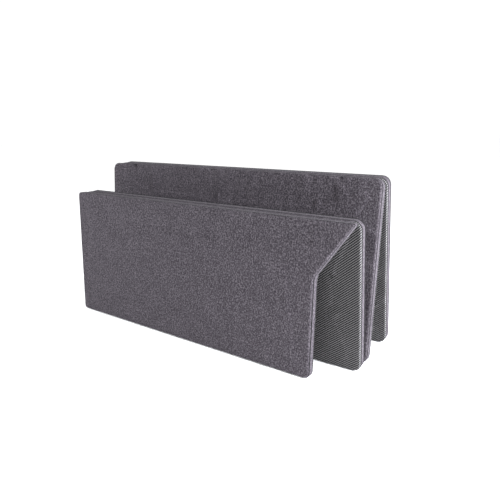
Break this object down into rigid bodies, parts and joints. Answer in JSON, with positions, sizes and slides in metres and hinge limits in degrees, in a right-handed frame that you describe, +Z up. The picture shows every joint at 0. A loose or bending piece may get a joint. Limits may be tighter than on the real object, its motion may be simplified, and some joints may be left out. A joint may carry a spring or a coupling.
{
  "type": "folding mattress",
  "caption": "Concertina-folding memory foam mattress with a woven top cover and a spacer-mesh underside, standing folded on its long edges; one section has a cut-away corner.",
  "frame": {"origin": "centre of the standing mattress's box, on the floor", "axes": "+X along the long edges and the folds, +Z up, +Y from section 1 in front to section 4 at the back"},
  "size_m": [1.1348, 0.3687, 0.5614],
  "materials": {
    "woven_cover": "dark melange woven upholstery fabric",
    "spacer_mesh": "black spacer mesh with light diagonal strands",
    "memory_foam": "matt viscoelastic foam",
    "base_foam": "matt open-cell foam",
    "zip_nylon": "matt nylon coil",
    "zip_metal": "satin dark metal"
  },
  "bodies": {
    "section_1": {"sleep_cover_1": "woven_cover", "border_1": "woven_cover", "underlay_1": "spacer_mesh", "memory_foam_1": "memory_foam", "base_foam_1": "base_foam", "zip_1": "zip_nylon"},
    "section_2": {"sleep_cover_2": "woven_cover", "border_2": "woven_cover", "underlay_2": "spacer_mesh", "memory_foam_2": "memory_foam", "base_foam_2": "base_foam", "zip_2": "zip_nylon", "fold_seam_12": "woven_cover", "fold_seam_23": "woven_cover"},
    "section_3": {"sleep_cover_3": "woven_cover", "border_3": "woven_cover", "underlay_3": "spacer_mesh", "memory_foam_3": "memory_foam", "base_foam_3": "base_foam", "zip_3": "zip_nylon", "fold_seam_34": "woven_cover"},
    "section_4": {"sleep_cover_4": "woven_cover", "border_4": "woven_cover", "underlay_4": "spacer_mesh", "memory_foam_4": "memory_foam", "base_foam_4": "base_foam", "zip_4": "zip_nylon"},
    "zip_slider_1": {"zip_slider_1": "zip_metal"},
    "zip_pull_1": {"zip_pull_1": "zip_metal"},
    "zip_slider_2": {"zip_slider_2": "zip_metal"},
    "zip_pull_2": {"zip_pull_2": "zip_metal"},
    "zip_slider_3": {"zip_slider_3": "zip_metal"},
    "zip_pull_3": {"zip_pull_3": "zip_metal"},
    "zip_slider_4": {"zip_slider_4": "zip_metal"},
    "zip_pull_4": {"zip_pull_4": "zip_metal"}
  },
  "joints": [
    {"name": "fold_12", "type": "hinge", "parent": "section_2", "child": "section_1", "pos_m": [0.00245, -0.10705, 0.467], "axis": [-1, 0, 0], "range_deg": [-9.2, 170.8]},
    {"name": "fold_23", "type": "hinge", "parent": "section_2", "child": "section_3", "pos_m": [0.00245, -0.02889, 0.00177], "axis": [-1, 0, 0], "range_deg": [-11.4, 168.6]},
    {"name": "fold_34", "type": "hinge", "parent": "section_3", "child": "section_4", "pos_m": [0.00245, 0.07836, 0.55834], "axis": [1, 0, 0], "range_deg": [-13.6, 166.4]},
    {"name": "zip_slide_1", "type": "slide", "parent": "section_1", "child": "zip_slider_1", "axis": [0, -0.0802, -0.9968], "range_m": [0, 0.378]},
    {"name": "pull_swing_1", "type": "hinge", "parent": "zip_slider_1", "child": "zip_pull_1", "pos_m": [-0.56585, -0.13023, 0.42272], "axis": [0, 0.9968, -0.0802], "range_deg": [-5, 180]},
    {"name": "zip_slide_2", "type": "slide", "parent": "section_2", "child": "zip_slider_2", "axis": [0, 0.0802, -0.9968], "range_m": [0, 0.378]},
    {"name": "pull_swing_2", "type": "hinge", "parent": "zip_slider_2", "child": "zip_pull_2", "pos_m": [-0.56585, -0.08388, 0.42272], "axis": [0, 0.9968, 0.0802], "range_deg": [-5, 180]},
    {"name": "zip_slide_3", "type": "slide", "parent": "section_3", "child": "zip_slider_3", "axis": [0, -0.1184, -0.993], "range_m": [0, 0.472]},
    {"name": "pull_swing_3", "type": "hinge", "parent": "zip_slider_3", "child": "zip_pull_3", "pos_m": [-0.56585, 0.0535, 0.51497], "axis": [0, 0.993, -0.1184], "range_deg": [-5, 180]},
    {"name": "zip_slide_4", "type": "slide", "parent": "section_4", "child": "zip_slider_4", "axis": [0, 0.1184, -0.993], "range_m": [0, 0.472]},
    {"name": "pull_swing_4", "type": "hinge", "parent": "zip_slider_4", "child": "zip_pull_4", "pos_m": [-0.56585, 0.10322, 0.51497], "axis": [0, 0.993, 0.1184], "range_deg": [-5, 180]}
  ]
}
